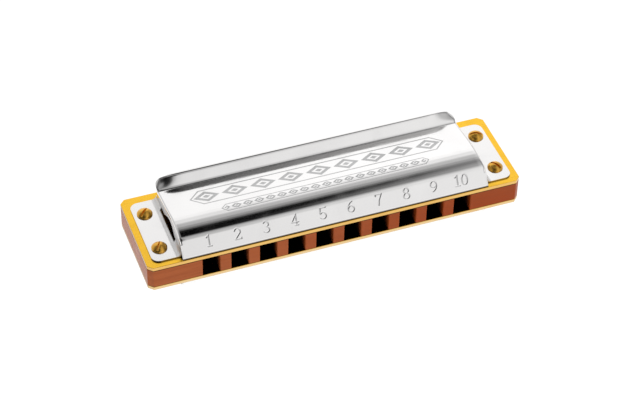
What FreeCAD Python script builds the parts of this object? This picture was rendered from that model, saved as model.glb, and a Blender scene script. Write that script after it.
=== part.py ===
import FreeCAD, Part
import math
import os

# A ten-hole diatonic harmonica, in millimetres.
#
# The origin is the centre of the comb. +X runs along the row of holes towards hole 10, the
# player's mouth is on the -Y side, and +Z is up. A wooden comb lies between two brass reed
# plates. Each plate carries ten reeds: the blow reeds hang inside the channels of the comb,
# and the draw reeds lie outside, under the lower cover. Two pressed steel covers are screwed
# down on the plates. They are one and the same pressing, the lower one turned over.

# Comb: an end block at each side of the row of holes
hole_count = 10
hole_pitch = 7.5
hole_width = 4.5
end_block = 12.5
comb_width = 26.0
comb_height = 5.6
comb_corner_radius = 1.8
hole_edge_break = 0.2
channel_end_radius = 1.0
channel_end_clearance = 0.4

# Reed plates, flush with the sides of the comb
plate_thickness = 1.0
plate_edge_bevel = 0.15

# Reeds. The lengths run evenly from hole 1 to hole 10.
reed_width = 2.0
reed_side_clearance = 0.05
reed_tip_clearance = 0.12
reed_root_clearance = 0.03
slot_root_relief = 0.2
blow_reed_first_length = 15.4
blow_reed_last_length = 9.4
draw_reed_first_length = 14.8
draw_reed_last_length = 9.0
blow_reed_tip_setback = 3.8
draw_reed_root_setback = 5.6
reed_root_thickness = 0.26
reed_waist_thickness = 0.16
reed_tip_thickness = 0.24
reed_waist_share = 0.55
pad_length = 3.0
pad_width = 2.6
pad_thickness = 0.4
rivet_shank_diameter = 1.1
rivet_head_diameter = 1.8
rivet_head_top_diameter = 1.2
rivet_head_height = 0.3

# Section of a cover: corners of its sheet side, with the radius that rounds each. A setback
# is measured from the front of the comb, an inset from its back, a height from the plate.
sheet_thickness = 0.4
foot_setback = 0.55
foot_height = 0.75
foot_lean = 0.15
foot_radius = 0.4
brow_setback = 3.0
brow_height = 4.62
brow_radius = 1.9
shoulder_setback = 4.8
shoulder_height = 5.12
shoulder_radius = 7.0
crown_setback = 9.4
crown_height = 5.62
crown_radius = 24.0
valley_inset = 4.2
valley_height = 3.9
valley_radius = 0.8
ridge_inset = 1.85
ridge_height = 7.2
ridge_radius = 0.95
tail_inset = 0.4
tail_height = 5.6
tail_corner_radius = 3.2

# Ends of a cover, past the middle of the last hole
shell_overhang = 7.2
end_roll_radius = 3.2
end_edge_radius = 0.9
strip_relief = 0.5
strip_relief_height = 3.2
wall_rear_inset = 2.5
hem_end_inset = 3.75
hem_radius = 0.42
hem_inset = 0.1
hem_drop = 0.21

# Mounting tabs at the ends of a cover, and the vent above each
tab_end_inset = 1.8
tab_front_setback = 1.6
tab_rear_inset = 2.7
tab_corner_radius = 2.0
tab_bend_radius = 0.6
vent_front_gap = 4.4
vent_rear_gap = 6.8
vent_height = 2.4
vent_corner_radius = 1.2

# Cover screws, two in each tab. Each slot stands where its thread came tight.
cover_screw_end_inset = 2.9
cover_screw_spacing = 12.7
cover_screw_diameter = 1.7
cover_screw_clearance = 0.1
cover_screw_tip_gap = 0.6
cover_screw_head_diameter = 4.0
cover_screw_head_rim = 0.25
cover_screw_head_height = 1.3
cover_screw_slot_width = 0.55
cover_screw_slot_depth = 0.75
cover_screw_slot_turns = (58.0, 45.0, -57.0, -19.0)

# Plate screws: the heads lie on the lower plate, the threads bite in the upper one.
plate_screw_diameter = 2.0
plate_screw_clearance = 0.1
plate_screw_head_diameter = 3.4
plate_screw_head_height = 0.8
plate_screw_slot_width = 0.5
plate_screw_slot_depth = 0.4
plate_screw_side_gap = 1.8
plate_screw_front_setback = 4.2
plate_screw_rear_holes = (1, 5, 9)

# Sizes that follow from those above
comb_length = hole_count * hole_pitch + 2 * end_block
comb_end = comb_length / 2
comb_front = -comb_width / 2
comb_rear = comb_width / 2
comb_top = comb_height / 2
plate_top = comb_top + plate_thickness
slot_width = reed_width + 2 * reed_side_clearance
last_hole = (hole_count - 1) * hole_pitch / 2
shell_end = last_hole + shell_overhang
tab_root = shell_end + tab_bend_radius
tab_end = comb_end - tab_end_inset
tab_front = comb_front + tab_front_setback
tab_rear = comb_rear - tab_rear_inset
tail_y = comb_rear - tail_inset
cover_screw_bore = cover_screw_diameter + 2 * cover_screw_clearance
cover_screw_bite = (comb_height - cover_screw_tip_gap) / 2
plate_screw_bore = plate_screw_diameter + 2 * plate_screw_clearance

# Allowances for cutting tools that run past a face, and for telling edges apart
cut_margin = 2.0
crisp_edge_sine = 0.05
small = 1e-6


def box(x0, x1, y0, y1, z0, z1):
    """Return a box between two corners."""
    corner = FreeCAD.Vector(x0, y0, z0)
    return Part.makeBox(x1 - x0, y1 - y0, z1 - z0, corner)


def rod(diameter, x, y, z0, z1):
    """Return an upright cylinder at (x, y) from z0 up to z1."""
    return Part.makeCylinder(diameter / 2, z1 - z0, FreeCAD.Vector(x, y, z0))


def turned_over(shape):
    """Return the shape turned half a turn about the Y axis, top to bottom and end to end."""
    copy = shape.copy()
    copy.rotate(FreeCAD.Vector(0, 0, 0), FreeCAD.Vector(0, 1, 0), 180)
    return copy


def line_meeting(point_a, way_a, point_b, way_b):
    """Return the point where two lines, each a point and a direction, cross in a plane."""
    cross = way_a[0] * way_b[1] - way_a[1] * way_b[0]
    gap = (point_b[0] - point_a[0], point_b[1] - point_a[1])
    along = (gap[0] * way_b[1] - gap[1] * way_b[0]) / cross
    return point_a[0] + along * way_a[0], point_a[1] + along * way_a[1]


def rounded_outline(corners, radii, place, insets=None):
    """Return a face whose sides lie inside the given corners by the given insets, if any.

    The corners run clockwise. Side i goes from corner i to the next. A round keeps its centre,
    so an outer round shrinks with the inset and a hollow one grows. place turns (a, b) into a
    point in space.
    """
    count = len(corners)
    insets = insets or [0] * count
    starts = []
    ways = []
    for i in range(count):
        a = corners[i]
        b = corners[(i + 1) % count]
        span = math.hypot(b[0] - a[0], b[1] - a[1])
        way = ((b[0] - a[0]) / span, (b[1] - a[1]) / span)
        starts.append((a[0] + insets[i] * way[1], a[1] - insets[i] * way[0]))
        ways.append(way)
    edges = []
    last = None
    first = None
    for i in range(count):
        way_in = ways[i - 1]
        way_out = ways[i]
        corner = line_meeting(starts[i - 1], way_in, starts[i], way_out)
        turn = way_in[0] * way_out[1] - way_in[1] * way_out[0]
        radius = 0.0
        if radii[i] > 0:
            radius = radii[i] + math.copysign(insets[i], turn)
        half = math.atan2(abs(turn), way_in[0] * way_out[0] + way_in[1] * way_out[1]) / 2
        cut = radius * math.tan(half)
        begin = (corner[0] - cut * way_in[0], corner[1] - cut * way_in[1])
        end = (corner[0] + cut * way_out[0], corner[1] + cut * way_out[1])
        if last is not None:
            edges.append(Part.LineSegment(place(*last), place(*begin)).toShape())
        if radius > 0:
            bisector = (way_out[0] - way_in[0], way_out[1] - way_in[1])
            size = math.hypot(*bisector)
            sagitta = radius / math.cos(half) - radius
            middle = (corner[0] + sagitta * bisector[0] / size,
                      corner[1] + sagitta * bisector[1] / size)
            edges.append(Part.Arc(place(*begin), place(*middle), place(*end)).toShape())
        if first is None:
            first = begin
        last = end
    edges.append(Part.LineSegment(place(*last), place(*first)).toShape())
    return Part.Face(Part.Wire(edges))


def hole_x(i):
    """Return where hole i lies along the comb, counted from 0."""
    return (i - (hole_count - 1) / 2) * hole_pitch


def graded(first, last, i):
    """Return the length of reed i, between that of the first hole and that of the last."""
    return first + (last - first) * i / (hole_count - 1)


def blow_reed_root(i):
    """Return the y of the line about which blow reed i bends; its tip points to the front."""
    length = graded(blow_reed_first_length, blow_reed_last_length, i)
    return comb_front + blow_reed_tip_setback + length


def draw_reed_root():
    """Return the y of the line about which every draw reed bends; the tips point to the rear."""
    return comb_front + draw_reed_root_setback


def cover_screw_places():
    """Return the (x, y) of the four screws of a cover."""
    middle = (tab_front + tab_rear) / 2
    places = []
    for side in (-1, 1):
        for row in (-1, 1):
            x = side * (tab_end - cover_screw_end_inset)
            places.append((x, middle + row * cover_screw_spacing / 2))
    return places


def channel_end(i):
    """Return the y where channel i ends, just past the pad of its blow reed."""
    return blow_reed_root(i) + pad_length + channel_end_clearance


def plate_screw_places():
    """Return the (x, y) of the plate screws: two in front, the rest behind the channels.

    A rear screw stands between two channels, midway from their ends to the comb's back.
    """
    side = last_hole + hole_width / 2 + plate_screw_side_gap
    front = comb_front + plate_screw_front_setback
    places = [(-side, front), (side, front)]
    for hole in plate_screw_rear_holes:
        x = hole_x(hole) - hole_pitch / 2
        places.append((x, (channel_end(hole) + comb_rear) / 2))
    return places


def slab(z0, z1):
    """Return a plate of the comb's outline, with its rounded corners, between two heights."""
    body = box(-comb_end, comb_end, comb_front, comb_rear, z0, z1)
    uprights = [edge for edge in body.Edges if edge.BoundBox.ZLength > small]
    return body.makeFillet(comb_corner_radius, uprights)


def channel(i):
    """Return the space of channel i, with its flared mouth and rounded inner end."""
    x = hole_x(i)
    half = hole_width / 2
    wide = half + hole_edge_break
    throat = comb_front + hole_edge_break
    mouth = comb_front - cut_margin
    corners = [(x - wide, mouth), (x - wide, comb_front), (x - half, throat),
               (x - half, channel_end(i)), (x + half, channel_end(i)), (x + half, throat),
               (x + wide, comb_front), (x + wide, mouth)]
    radii = [0, 0, 0, channel_end_radius, channel_end_radius, 0, 0, 0]
    floor = -comb_top - cut_margin
    outline = rounded_outline(corners, radii, lambda a, b: FreeCAD.Vector(a, b, floor))
    return outline.extrude(FreeCAD.Vector(0, 0, comb_height + 2 * cut_margin))


def make_comb():
    """Make the wooden comb: ten channels open to the front, and its screw holes."""
    cuts = [channel(i) for i in range(hole_count)]
    for x, y in cover_screw_places():
        cuts.append(rod(cover_screw_diameter, x, y, comb_top - cover_screw_bite, comb_top))
        cuts.append(rod(cover_screw_diameter, x, y, -comb_top, cover_screw_bite - comb_top))
    for x, y in plate_screw_places():
        cuts.append(rod(plate_screw_bore, x, y, -comb_top, comb_top))
    return slab(-comb_top, comb_top).cut(cuts)


def make_plate(z0, z1, outer_z, slots, rivet_y, screw_bore):
    """Make a reed plate with a slot and a rivet hole for each reed and its screw holes.

    outer_z is its outer face, whose rim is bevelled. slots holds each slot's front and rear,
    and rivet_y each rivet's y.
    """
    plate = slab(z0, z1)
    rim = [edge for edge in plate.Edges
           if max(abs(edge.BoundBox.ZMin - outer_z), abs(edge.BoundBox.ZMax - outer_z)) < small]
    plate = plate.makeChamfer(plate_edge_bevel, rim)
    cuts = []
    for i in range(hole_count):
        x = hole_x(i)
        front, rear = slots[i]
        cuts.append(box(x - slot_width / 2, x + slot_width / 2, front, rear, z0, z1))
        cuts.append(rod(rivet_shank_diameter, x, rivet_y[i], z0, z1))
    for x, y in cover_screw_places():
        cuts.append(rod(cover_screw_bore, x, y, z0, z1))
    for x, y in plate_screw_places():
        cuts.append(rod(screw_bore, x, y, z0, z1))
    return plate.cut(cuts)


def blow_rivet_y(i):
    """Return the y of the rivet of blow reed i."""
    return blow_reed_root(i) + pad_length / 2


def draw_rivet_y():
    """Return the y of the rivets of the draw reeds."""
    return draw_reed_root() - pad_length / 2


def make_upper_plate():
    """Make the blow plate, which lies on the comb."""
    slots = []
    for i in range(hole_count):
        front = comb_front + blow_reed_tip_setback - reed_tip_clearance
        slots.append((front, blow_reed_root(i) + slot_root_relief))
    rivets = [blow_rivet_y(i) for i in range(hole_count)]
    return make_plate(comb_top, plate_top, plate_top, slots, rivets, plate_screw_diameter)


def make_lower_plate():
    """Make the draw plate, which lies under the comb."""
    slots = []
    for i in range(hole_count):
        length = graded(draw_reed_first_length, draw_reed_last_length, i)
        rear = draw_reed_root() + length + reed_tip_clearance
        slots.append((draw_reed_root() - slot_root_relief, rear))
    rivets = [draw_rivet_y()] * hole_count
    return make_plate(-plate_top, -comb_top, -plate_top, slots, rivets, plate_screw_bore)


def make_reed(x, root, way, length, seat):
    """Make a reed's tongue: a milled strip, thinnest past its middle, seated at height seat.

    It starts a little beyond its root line and points along Y, way being 1 or -1. Its milled
    face looks down.
    """
    start = root + way * reed_root_clearance
    waist = root + way * length * reed_waist_share
    tip = root + way * length
    points = [(start, 0), (tip, 0), (tip, -reed_tip_thickness),
              (waist, -reed_waist_thickness), (start, -reed_root_thickness), (start, 0)]
    side = x - reed_width / 2
    profile = Part.makePolygon([FreeCAD.Vector(side, y, seat + z) for y, z in points])
    return Part.Face(profile).extrude(FreeCAD.Vector(reed_width, 0, 0))


def make_pad(x, root, way, rivet_y, seat):
    """Make a reed's root pad, which the rivet holds on the plate."""
    ends = sorted((root, root - way * pad_length))
    pad = box(x - pad_width / 2, x + pad_width / 2, ends[0], ends[1], seat - pad_thickness, seat)
    return pad.cut(rod(rivet_shank_diameter, x, rivet_y, seat - pad_thickness, seat))


def make_rivet(x, y, seat):
    """Make a rivet: a tapered head under the pad, its shank flush with the plate's far face."""
    low = seat - pad_thickness
    head = Part.makeCone(rivet_head_top_diameter / 2, rivet_head_diameter / 2, rivet_head_height,
                         FreeCAD.Vector(x, y, low - rivet_head_height))
    return head.fuse(rod(rivet_shank_diameter, x, y, low, seat + plate_thickness))


def cover_section(inset):
    """Return the area under the cover's section, its sheet side moved in by inset.

    Behind the ridge the slope runs on down to the plate, past the tail where the sheet ends.
    """
    front = comb_front + foot_setback
    ridge_y = comb_rear - ridge_inset
    fall = (tail_y - ridge_y) / (ridge_height - tail_height)
    corners = [(front, 0),
               (front + foot_lean, foot_height),
               (comb_front + brow_setback, brow_height),
               (comb_front + shoulder_setback, shoulder_height),
               (comb_front + crown_setback, crown_height),
               (comb_rear - valley_inset, valley_height),
               (ridge_y, ridge_height),
               (ridge_y + fall * ridge_height, 0)]
    radii = [0, foot_radius, brow_radius, shoulder_radius, crown_radius, valley_radius,
             ridge_radius, 0]
    insets = [inset] * (len(corners) - 1) + [0]
    return rounded_outline(corners, radii, lambda a, b: FreeCAD.Vector(0, a, plate_top + b),
                           insets)


def cover_form(inset):
    """Return the closed form of a cover moved in by inset on its top, brow and ends.

    The section runs from end to end, and the ends are rolled down and rounded.
    """
    end = shell_end - inset
    run = cover_section(inset).extrude(FreeCAD.Vector(2 * end, 0, 0))
    run.translate(FreeCAD.Vector(-end, 0, 0))
    corners = [(-shell_end, 0), (-shell_end, ridge_height), (shell_end, ridge_height), (shell_end, 0)]
    radii = [0, end_roll_radius, end_roll_radius, 0]
    across = rounded_outline(corners, radii,
                             lambda a, b: FreeCAD.Vector(a, comb_front, plate_top + b),
                             [inset, inset, inset, 0])
    return run.common(across.extrude(FreeCAD.Vector(0, 2 * comb_width, 0)))


def crisp_end_edges(form):
    """Return the edges where the sheet side of a cover's form meets its rolled ends."""
    edges = []
    for edge in form.Edges:
        bounds = edge.BoundBox
        if bounds.XMin * bounds.XMax < 0 or bounds.ZMax < plate_top + small:
            continue
        middle = edge.valueAt((edge.FirstParameter + edge.LastParameter) / 2)
        normals = [face.normalAt(*face.Surface.parameter(middle))
                   for face in form.ancestorsOfType(edge, Part.Face)]
        if normals[0].cross(normals[1]).Length > crisp_edge_sine:
            edges.append(edge)
    return edges


def rounded_form(inset):
    """Return a cover's form with the edges of its ends rounded."""
    form = cover_form(inset).Solids[0]
    return form.makeFillet(end_edge_radius - inset, crisp_end_edges(form))


def mirrored(shape, side):
    """Return the shape as it is for the right end, or mirrored for the left end."""
    if side > 0:
        return shape
    return shape.mirror(FreeCAD.Vector(0, 0, 0), FreeCAD.Vector(1, 0, 0))


def make_strip():
    """Return the sheared front strip of a cover, square at its ends."""
    sheet = cover_section(0).cut(cover_section(sheet_thickness))
    span = sheet.extrude(FreeCAD.Vector(2 * shell_end, 0, 0))
    span.translate(FreeCAD.Vector(-shell_end, 0, 0))
    return span.common(box(-shell_end, shell_end, comb_front, 0,
                           plate_top, plate_top + strip_relief_height))


def make_relief():
    """Return the notch that parts the right end wall from the front strip."""
    near = cover_section(sheet_thickness)
    far = cover_section(sheet_thickness + strip_relief)
    x = shell_end - cut_margin
    gap = near.cut(far).extrude(FreeCAD.Vector(2 * cut_margin, 0, 0))
    gap.translate(FreeCAD.Vector(x, 0, 0))
    return gap.common(box(x, x + 2 * cut_margin, comb_front, 0,
                          plate_top, plate_top + strip_relief_height))


def make_tab():
    """Return the right tab: the sheet turns outward from the end wall and lies on the plate."""
    corners = [(tab_root, tab_front), (tab_root, tab_rear), (tab_end, tab_rear),
               (tab_end, tab_front)]
    radii = [0, 0, tab_corner_radius, tab_corner_radius]
    flat = rounded_outline(corners, radii, lambda a, b: FreeCAD.Vector(a, b, plate_top))
    outer = tab_bend_radius + sheet_thickness
    centre = FreeCAD.Vector(tab_root, tab_front, plate_top + outer)
    along = FreeCAD.Vector(0, 1, 0)
    length = tab_rear - tab_front
    bend = Part.makeCylinder(outer, length, centre, along)
    bend = bend.cut(Part.makeCylinder(tab_bend_radius, length, centre, along))
    bend = bend.common(box(tab_root - outer, tab_root, tab_front, tab_rear,
                           plate_top, plate_top + outer))
    return flat.extrude(FreeCAD.Vector(0, 0, sheet_thickness)).fuse(bend)


def make_vent():
    """Return the space of the right vent, a slot through the end wall and its bend."""
    front = tab_front + vent_front_gap
    rear = tab_rear - vent_rear_gap
    corners = [(front, 0), (front, vent_height), (rear, vent_height), (rear, 0)]
    radii = [0, vent_corner_radius, vent_corner_radius, 0]
    x = shell_end - sheet_thickness
    outline = rounded_outline(corners, radii, lambda a, b: FreeCAD.Vector(x, a, plate_top + b))
    return outline.extrude(FreeCAD.Vector(tab_root - x, 0, 0))


def make_shell():
    """Return the drawn shell of a cover: its ends reach the bends of the tabs."""
    shell = rounded_form(0).cut(rounded_form(sheet_thickness))
    corners = [(-shell_end, comb_front), (-shell_end, tail_y), (shell_end, tail_y),
               (shell_end, comb_front)]
    radii = [0, tail_corner_radius, tail_corner_radius, 0]
    plan = rounded_outline(corners, radii, lambda a, b: FreeCAD.Vector(a, b, plate_top))
    shell = shell.common(plan.extrude(FreeCAD.Vector(0, 0, ridge_height)))
    near = shell_end - cut_margin
    far = shell_end + cut_margin
    bend_top = plate_top + tab_bend_radius + sheet_thickness
    foot = box(near, far, tab_front, comb_rear, plate_top, bend_top)
    wall_rear = comb_rear - wall_rear_inset
    back = box(near, far, wall_rear, comb_rear, plate_top, plate_top + valley_height)
    cuts = []
    for side in (-1, 1):
        for cut in (foot, back, make_relief()):
            cuts.append(mirrored(cut, side))
    return shell.cut(cuts)


def make_cover():
    """Make the upper cover: a drawn shell, open at the rear, with a tab at each end."""
    tabs = [mirrored(make_tab(), side) for side in (-1, 1)]
    cuts = [mirrored(make_vent(), side) for side in (-1, 1)]
    for x, y in cover_screw_places():
        cuts.append(rod(cover_screw_bore, x, y, plate_top, plate_top + sheet_thickness))
    cover = make_shell().fuse(tabs + [make_strip()]).cut(cuts)
    hem_end = shell_end - hem_end_inset
    start = FreeCAD.Vector(-hem_end, tail_y - hem_inset, plate_top + tail_height - hem_drop)
    hem = Part.makeCylinder(hem_radius, 2 * hem_end, start, FreeCAD.Vector(1, 0, 0))
    return cover.fuse(hem).removeSplitter()


def dome(diameter, rim, height):
    """Return a domed head that stands on the origin, with a straight rim under the dome."""
    radius = diameter / 2
    rise = height - rim
    ball = (radius ** 2 + rise ** 2) / (2 * rise)
    half = math.asin(radius / ball) / 2
    centre = FreeCAD.Vector(0, 0, 0)
    foot = FreeCAD.Vector(radius, 0, 0)
    edge = FreeCAD.Vector(radius, 0, rim)
    shoulder = FreeCAD.Vector(ball * math.sin(half), 0, height - ball * (1 - math.cos(half)))
    crest = FreeCAD.Vector(0, 0, height)
    profile = Part.Wire([Part.LineSegment(centre, foot).toShape(),
                         Part.LineSegment(foot, edge).toShape(),
                         Part.Arc(edge, shoulder, crest).toShape(),
                         Part.LineSegment(crest, centre).toShape()])
    return Part.Face(profile).revolve(centre, FreeCAD.Vector(0, 0, 1), 360)


def make_cover_screw(x, y, turn):
    """Make a wood screw with a domed, slotted head on the tab of the upper cover."""
    reach = cover_screw_head_diameter
    half = cover_screw_slot_width / 2
    slot = box(-reach, reach, -half, half, cover_screw_head_height - cover_screw_slot_depth,
               cover_screw_head_height)
    slot.rotate(FreeCAD.Vector(0, 0, 0), FreeCAD.Vector(0, 0, 1), turn)
    head = dome(cover_screw_head_diameter, cover_screw_head_rim, cover_screw_head_height)
    head = head.cut(slot)
    seat = plate_top + sheet_thickness
    head.translate(FreeCAD.Vector(x, y, seat))
    return head.fuse(rod(cover_screw_diameter, x, y, comb_top - cover_screw_bite, seat))


def make_cover_screws():
    """Make the four screws of the upper cover."""
    screws = []
    for place, turn in zip(cover_screw_places(), cover_screw_slot_turns):
        screws.append(make_cover_screw(place[0], place[1], turn))
    return Part.makeCompound(screws)


def make_plate_screws():
    """Make the screws that clamp both plates to the comb, their slotted heads underneath."""
    screws = []
    seat = -plate_top
    low = seat - plate_screw_head_height
    for x, y in plate_screw_places():
        head = rod(plate_screw_head_diameter, x, y, low, seat)
        reach = plate_screw_head_diameter
        slot = box(x - reach, x + reach, y - plate_screw_slot_width / 2,
                   y + plate_screw_slot_width / 2, low, low + plate_screw_slot_depth)
        shank = rod(plate_screw_diameter, x, y, seat, plate_top)
        screws.append(head.cut(slot).fuse(shank))
    return Part.makeCompound(screws)


def make_parts():
    """Return every node of the harmonica by name."""
    cover = make_cover()
    cover_screws = make_cover_screws()
    parts = {
        "comb": make_comb(),
        "upper_reed_plate": make_upper_plate(),
        "lower_reed_plate": make_lower_plate(),
        "reed_plate_screws": make_plate_screws(),
        "top_cover": cover,
        "bottom_cover": turned_over(cover),
        "top_cover_screws": cover_screws,
        "bottom_cover_screws": turned_over(cover_screws),
    }
    pads = {"blow": [], "draw": []}
    rivets = {"blow": [], "draw": []}
    for i in range(hole_count):
        x = hole_x(i)
        root = blow_reed_root(i)
        length = graded(blow_reed_first_length, blow_reed_last_length, i)
        parts[f"blow_reed_{i + 1}"] = make_reed(x, root, -1, length, comb_top)
        pads["blow"].append(make_pad(x, root, -1, blow_rivet_y(i), comb_top))
        rivets["blow"].append(make_rivet(x, blow_rivet_y(i), comb_top))
        root = draw_reed_root()
        length = graded(draw_reed_first_length, draw_reed_last_length, i)
        parts[f"draw_reed_{i + 1}"] = make_reed(x, root, 1, length, -plate_top)
        pads["draw"].append(make_pad(x, root, 1, draw_rivet_y(), -plate_top))
        rivets["draw"].append(make_rivet(x, draw_rivet_y(), -plate_top))
    for kind in ("blow", "draw"):
        parts[f"{kind}_reed_pads"] = Part.makeCompound(pads[kind])
        parts[f"{kind}_reed_rivets"] = Part.makeCompound(rivets[kind])
    return parts


if __name__ == "__main__":
    os.makedirs("parts", exist_ok=True)
    for name, shape in make_parts().items():
        shape.exportStep(f"parts/{name}.step")
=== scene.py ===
import math

import bmesh
import bpy
import numpy as np
from mathutils import Matrix, Vector


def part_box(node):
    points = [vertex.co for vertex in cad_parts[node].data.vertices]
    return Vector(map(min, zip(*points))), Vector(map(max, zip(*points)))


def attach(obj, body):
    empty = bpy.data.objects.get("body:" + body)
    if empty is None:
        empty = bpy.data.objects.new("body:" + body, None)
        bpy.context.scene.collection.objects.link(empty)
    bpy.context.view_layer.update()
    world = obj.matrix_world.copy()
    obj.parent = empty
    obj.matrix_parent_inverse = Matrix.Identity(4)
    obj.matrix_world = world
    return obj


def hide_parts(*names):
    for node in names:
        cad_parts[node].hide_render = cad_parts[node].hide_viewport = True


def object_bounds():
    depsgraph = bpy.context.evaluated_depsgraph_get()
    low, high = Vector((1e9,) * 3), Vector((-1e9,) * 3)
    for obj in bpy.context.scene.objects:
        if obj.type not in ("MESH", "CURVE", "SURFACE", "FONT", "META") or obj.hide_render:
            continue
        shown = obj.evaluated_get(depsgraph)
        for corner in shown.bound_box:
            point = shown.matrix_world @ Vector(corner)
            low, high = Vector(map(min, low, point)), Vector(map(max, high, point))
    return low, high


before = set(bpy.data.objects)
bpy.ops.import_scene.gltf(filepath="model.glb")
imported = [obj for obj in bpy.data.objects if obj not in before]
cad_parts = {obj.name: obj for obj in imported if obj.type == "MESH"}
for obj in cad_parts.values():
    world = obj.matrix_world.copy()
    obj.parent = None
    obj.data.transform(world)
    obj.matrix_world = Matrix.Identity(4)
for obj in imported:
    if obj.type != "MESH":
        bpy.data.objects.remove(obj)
cad_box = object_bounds()


# ---------------------------------------------------------------------------------------
# Comb. A bar of pearwood, milled with ten channels that open to the player's mouth, then
# sealed and lacquered a warm red brown. Every other piece is screwed to it.
# ---------------------------------------------------------------------------------------

hole_count = 10
hole_pitch = 7.5
hole_width = 4.5
corner_cut = 1.3
eased_edge = 0.12
channel_first_end, channel_last_end = 9.6, 3.6
channel_lip = 0.2
channel_corner_radius = 1.0
comb_end, comb_rear, comb_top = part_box("comb")[1] * 1000


def set_up_material(name):
    """Make an empty node material and return it with its Principled BSDF."""
    material = bpy.data.materials.new(name)
    material.use_nodes = True
    nodes = material.node_tree.nodes
    nodes.clear()
    output = nodes.new("ShaderNodeOutputMaterial")
    shader = nodes.new("ShaderNodeBsdfPrincipled")
    material.node_tree.links.new(shader.outputs["BSDF"], output.inputs["Surface"])
    return material, shader


def fill_inputs(tree, node, values):
    """Set or link a node's inputs: values holds numbers, colours or sockets by input."""
    for key, value in values.items():
        if isinstance(value, bpy.types.NodeSocket):
            tree.links.new(value, node.inputs[key])
        else:
            node.inputs[key].default_value = value


def add_node(tree, kind, values=None, **settings):
    """Add a node, set its properties, and fill or link its inputs from values."""
    node = tree.nodes.new(kind)
    for key, value in settings.items():
        setattr(node, key, value)
    fill_inputs(tree, node, values or {})
    return node


def reckon(tree, operation, first, second=0.0, third=0.0):
    """One step of arithmetic on numbers or sockets; returns the socket."""
    node = add_node(tree, "ShaderNodeMath", {0: first, 1: second, 2: third},
                    operation=operation)
    return node.outputs[0]


def reading_of(tree, value, low, high, out_low=0.0, out_high=1.0, smooth=True):
    """Map value from low..high to out_low..out_high, clamped, and return the socket."""
    node = add_node(tree, "ShaderNodeMapRange",
                    {"Value": value, "From Min": low, "From Max": high,
                     "To Min": out_low, "To Max": out_high},
                    interpolation_type="SMOOTHSTEP" if smooth else "LINEAR")
    return node.outputs["Result"]


def blend_of(tree, share, first, second, mode="MIX"):
    """Mix two colours by share and return the socket."""
    node = add_node(tree, "ShaderNodeMix", data_type="RGBA", blend_type=mode)
    fill_inputs(tree, node, {0: share, 6: first, 7: second})
    return node.outputs[2]


def place_of(tree, scale):
    """Object coordinates stretched by scale along each axis."""
    here = add_node(tree, "ShaderNodeTexCoord")
    stretch = add_node(tree, "ShaderNodeMapping", {"Vector": here.outputs["Object"],
                                                   "Scale": scale})
    return stretch.outputs["Vector"]


def noise_of(tree, scale, detail=3.0, roughness=0.6):
    """Noise on Object coordinates stretched by scale; returns its socket."""
    node = add_node(tree, "ShaderNodeTexNoise",
                    {"Vector": place_of(tree, scale), "Scale": 1.0, "Detail": detail,
                     "Roughness": roughness})
    return node.outputs["Fac"]


def make_group(name, inputs, outputs):
    """An empty node group with float sockets; returns it with its input and output nodes."""
    group = bpy.data.node_groups.new(name, "ShaderNodeTree")
    for socket, value in inputs.items():
        group.interface.new_socket(socket, in_out="INPUT",
                                   socket_type="NodeSocketFloat").default_value = value
    for socket in outputs:
        group.interface.new_socket(socket, in_out="OUTPUT", socket_type="NodeSocketFloat")
    return group, group.nodes.new("NodeGroupInput"), group.nodes.new("NodeGroupOutput")


def make_edge_wear():
    """Where handling has rubbed an edge: the normal bends there, more in some patches.

    Outputs the share of wear, 0 on flat stretches and 1 on a well rubbed edge.
    """
    group, given, result = make_group("edge_wear", {"Radius": 0.0002, "Patches": 300.0},
                                      ["Wear"])
    round_normal = add_node(group, "ShaderNodeBevel", {"Radius": given.outputs["Radius"]},
                            samples=6)
    straight = add_node(group, "ShaderNodeNewGeometry")
    bend = add_node(group, "ShaderNodeVectorMath", {0: round_normal.outputs["Normal"],
                                                    1: straight.outputs["Normal"]},
                    operation="DOT_PRODUCT")
    edge = reading_of(group, bend.outputs["Value"], 0.995, 0.86)
    here = add_node(group, "ShaderNodeTexCoord")
    patch = add_node(group, "ShaderNodeTexNoise",
                     {"Vector": here.outputs["Object"], "Scale": given.outputs["Patches"],
                      "Detail": 3.0})
    rubbed = reading_of(group, patch.outputs["Fac"], 0.35, 0.65, 0.25, 1.0)
    fill_inputs(group, result, {"Wear": reckon(group, "MULTIPLY", edge, rubbed)})
    return group


def make_handling():
    """Faint smears and fine scratches from handling, for roughness and bump.

    Outputs a smear from 0 to 1 in soft clouds, and scratches as thin bright lines where a
    noise that is stretched one way crosses its middle value.
    """
    group, given, result = make_group("handling", {"Size": 1.0}, ["Smear", "Scratch"])
    here = add_node(group, "ShaderNodeTexCoord")
    grown = add_node(group, "ShaderNodeVectorMath", {0: here.outputs["Object"],
                                                     "Scale": given.outputs["Size"]},
                     operation="SCALE")
    cloud = add_node(group, "ShaderNodeTexNoise",
                     {"Vector": grown.outputs["Vector"], "Scale": 90.0, "Detail": 4.0,
                      "Distortion": 0.8})
    smear = reading_of(group, cloud.outputs["Fac"], 0.4, 0.7)
    turned = add_node(group, "ShaderNodeMapping",
                      {"Vector": grown.outputs["Vector"], "Rotation": (0.3, 0.2, 0.5),
                       "Scale": (120, 2400, 2400)})
    streak = add_node(group, "ShaderNodeTexNoise",
                      {"Vector": turned.outputs["Vector"], "Scale": 1.0, "Detail": 2.0})
    off = reckon(group, "ABSOLUTE", reckon(group, "SUBTRACT", streak.outputs["Fac"], 0.5))
    line = reading_of(group, off, 0.012, 0.0)
    fill_inputs(group, result, {"Smear": smear,
                                "Scratch": reckon(group, "MULTIPLY", line, smear)})
    return group


edge_wear = make_edge_wear()
handling = make_handling()


def wear_of(tree, radius, patches):
    """The wear output of the edge group."""
    node = add_node(tree, "ShaderNodeGroup", node_tree=edge_wear)
    fill_inputs(tree, node, {"Radius": radius, "Patches": patches})
    return node.outputs["Wear"]


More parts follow.
